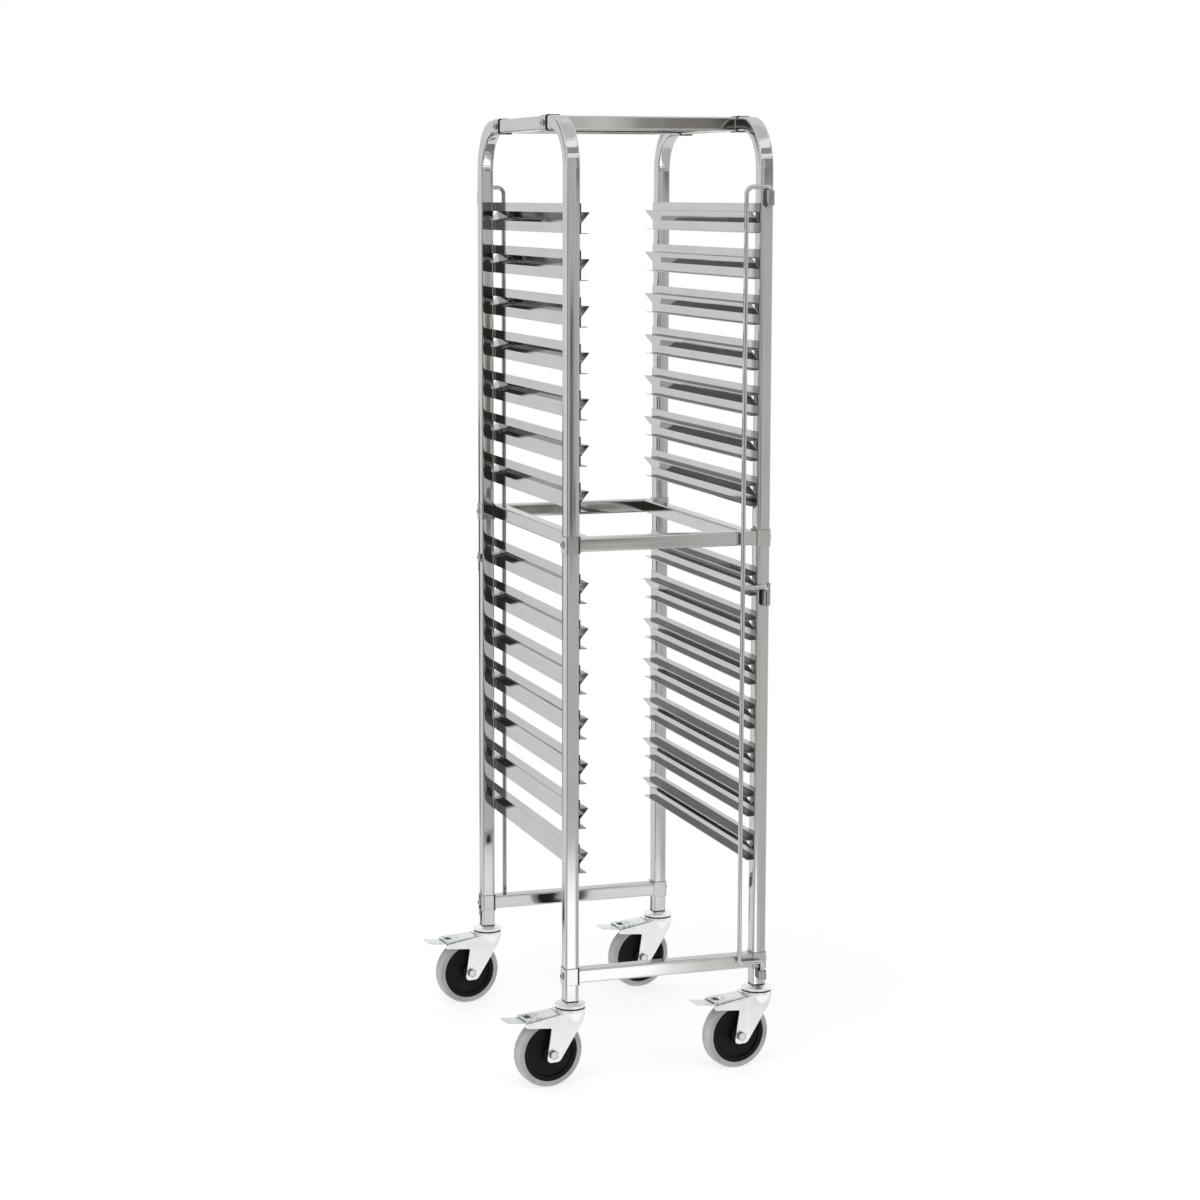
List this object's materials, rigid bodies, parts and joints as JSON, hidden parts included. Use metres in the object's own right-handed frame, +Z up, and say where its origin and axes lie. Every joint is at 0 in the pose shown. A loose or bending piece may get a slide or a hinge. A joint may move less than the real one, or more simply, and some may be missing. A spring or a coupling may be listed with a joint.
{
  "type": "gastronorm tray trolley",
  "caption": "Tall bolted trolley of polished square tube with folded runners for gastronorm trays, swinging tray lock rods and braked swivel casters.",
  "frame": {"origin": "floor level, midway between the four posts", "axes": "+X across the width to the right seen from the front, +Y to the rear, +Z up"},
  "size_m": [0.5137, 0.5908, 1.707],
  "materials": {
    "polished_stainless": "polished",
    "bright_screws": "polished",
    "zinc_plate": "satin zinc",
    "black_plastic": "satin",
    "grey_tread": "matt"
  },
  "bodies": {
    "frame": {"bottom_front_bar": "polished_stainless", "bottom_rear_bar": "polished_stainless", "caster_seals": "black_plastic", "caster_stems": "zinc_plate", "eye_bolts": "bright_screws", "front_rod_eyes": "polished_stainless", "left_hoop": "polished_stainless", "mid_front_bar": "polished_stainless", "mid_left_bar": "polished_stainless", "mid_rear_bar": "polished_stainless", "mid_right_bar": "polished_stainless", "post_plugs": "black_plastic", "post_straps": "polished_stainless", "rear_rod_eyes": "polished_stainless", "right_hoop": "polished_stainless", "runner_pair_01": "polished_stainless", "runner_pair_02": "polished_stainless", "runner_pair_03": "polished_stainless", "runner_pair_04": "polished_stainless", "runner_pair_05": "polished_stainless", "runner_pair_06": "polished_stainless", "runner_pair_07": "polished_stainless", "runner_pair_09": "polished_stainless", "runner_pair_10": "polished_stainless", "runner_pair_11": "polished_stainless", "runner_pair_12": "polished_stainless", "runner_pair_13": "polished_stainless", "runner_pair_14": "polished_stainless", "runner_pair_15": "polished_stainless", "strap_screws": "bright_screws", "top_front_bar": "polished_stainless", "top_rear_bar": "polished_stainless", "top_straps": "polished_stainless"},
    "front_left_swivel": {"front_left_fork": "zinc_plate", "front_left_axle": "zinc_plate", "front_left_brake_pin": "zinc_plate"},
    "front_left_wheel": {"front_left_wheel_core": "black_plastic", "front_left_tyre": "grey_tread"},
    "front_left_brake": {"front_left_brake_lever": "zinc_plate"},
    "front_right_swivel": {"front_right_fork": "zinc_plate", "front_right_axle": "zinc_plate", "front_right_brake_pin": "zinc_plate"},
    "front_right_wheel": {"front_right_wheel_core": "black_plastic", "front_right_tyre": "grey_tread"},
    "front_right_brake": {"front_right_brake_lever": "zinc_plate"},
    "rear_left_swivel": {"rear_left_fork": "zinc_plate", "rear_left_axle": "zinc_plate", "rear_left_brake_pin": "zinc_plate"},
    "rear_left_wheel": {"rear_left_wheel_core": "black_plastic", "rear_left_tyre": "grey_tread"},
    "rear_left_brake": {"rear_left_brake_lever": "zinc_plate"},
    "rear_right_swivel": {"rear_right_fork": "zinc_plate", "rear_right_axle": "zinc_plate", "rear_right_brake_pin": "zinc_plate"},
    "rear_right_wheel": {"rear_right_wheel_core": "black_plastic", "rear_right_tyre": "grey_tread"},
    "rear_right_brake": {"rear_right_brake_lever": "zinc_plate"},
    "front_rod": {"front_lock_rod": "polished_stainless"},
    "rear_rod": {"rear_lock_rod": "polished_stainless"}
  },
  "joints": [
    {"name": "front_left_swivel_turn", "type": "hinge", "parent": "frame", "child": "front_left_swivel", "pos_m": [-0.1775, -0.2625, 0.132], "axis": [0, 0, 1], "continuous": true},
    {"name": "front_left_wheel_spin", "type": "hinge", "parent": "front_left_swivel", "child": "front_left_wheel", "pos_m": [-0.22107, -0.26862, 0.0625], "axis": [-0.1392, 0.9903, 0], "continuous": true},
    {"name": "front_left_brake_press", "type": "hinge", "parent": "front_left_swivel", "child": "front_left_brake", "pos_m": [-0.26068, -0.27419, 0.12], "axis": [0.1392, -0.9903, 0], "range_deg": [0, 8]},
    {"name": "front_right_swivel_turn", "type": "hinge", "parent": "frame", "child": "front_right_swivel", "pos_m": [0.1775, -0.2625, 0.132], "axis": [0, 0, 1], "continuous": true},
    {"name": "front_right_wheel_spin", "type": "hinge", "parent": "front_right_swivel", "child": "front_right_wheel", "pos_m": [0.13393, -0.26862, 0.0625], "axis": [-0.1392, 0.9903, 0], "continuous": true},
    {"name": "front_right_brake_press", "type": "hinge", "parent": "front_right_swivel", "child": "front_right_brake", "pos_m": [0.09432, -0.27419, 0.12], "axis": [0.1392, -0.9903, 0], "range_deg": [0, 8]},
    {"name": "rear_left_swivel_turn", "type": "hinge", "parent": "frame", "child": "rear_left_swivel", "pos_m": [-0.1775, 0.2625, 0.132], "axis": [0, 0, 1], "continuous": true},
    {"name": "rear_left_wheel_spin", "type": "hinge", "parent": "rear_left_swivel", "child": "rear_left_wheel", "pos_m": [-0.22107, 0.25638, 0.0625], "axis": [-0.1392, 0.9903, 0], "continuous": true},
    {"name": "rear_left_brake_press", "type": "hinge", "parent": "rear_left_swivel", "child": "rear_left_brake", "pos_m": [-0.26068, 0.25081, 0.12], "axis": [0.1392, -0.9903, 0], "range_deg": [0, 8]},
    {"name": "rear_right_swivel_turn", "type": "hinge", "parent": "frame", "child": "rear_right_swivel", "pos_m": [0.1775, 0.2625, 0.132], "axis": [0, 0, 1], "continuous": true},
    {"name": "rear_right_wheel_spin", "type": "hinge", "parent": "rear_right_swivel", "child": "rear_right_wheel", "pos_m": [0.13393, 0.25638, 0.0625], "axis": [-0.1392, 0.9903, 0], "continuous": true},
    {"name": "rear_right_brake_press", "type": "hinge", "parent": "rear_right_swivel", "child": "rear_right_brake", "pos_m": [0.09432, 0.25081, 0.12], "axis": [0.1392, -0.9903, 0], "range_deg": [0, 8]},
    {"name": "front_lock_rod_swing", "type": "hinge", "parent": "frame", "child": "front_rod", "pos_m": [0.18, -0.285, 0.9], "axis": [0, 0, 1], "range_deg": [0, 180]},
    {"name": "rear_lock_rod_swing", "type": "hinge", "parent": "frame", "child": "rear_rod", "pos_m": [-0.18, 0.285, 0.9], "axis": [0, 0, 1], "range_deg": [0, 180]}
  ]
}
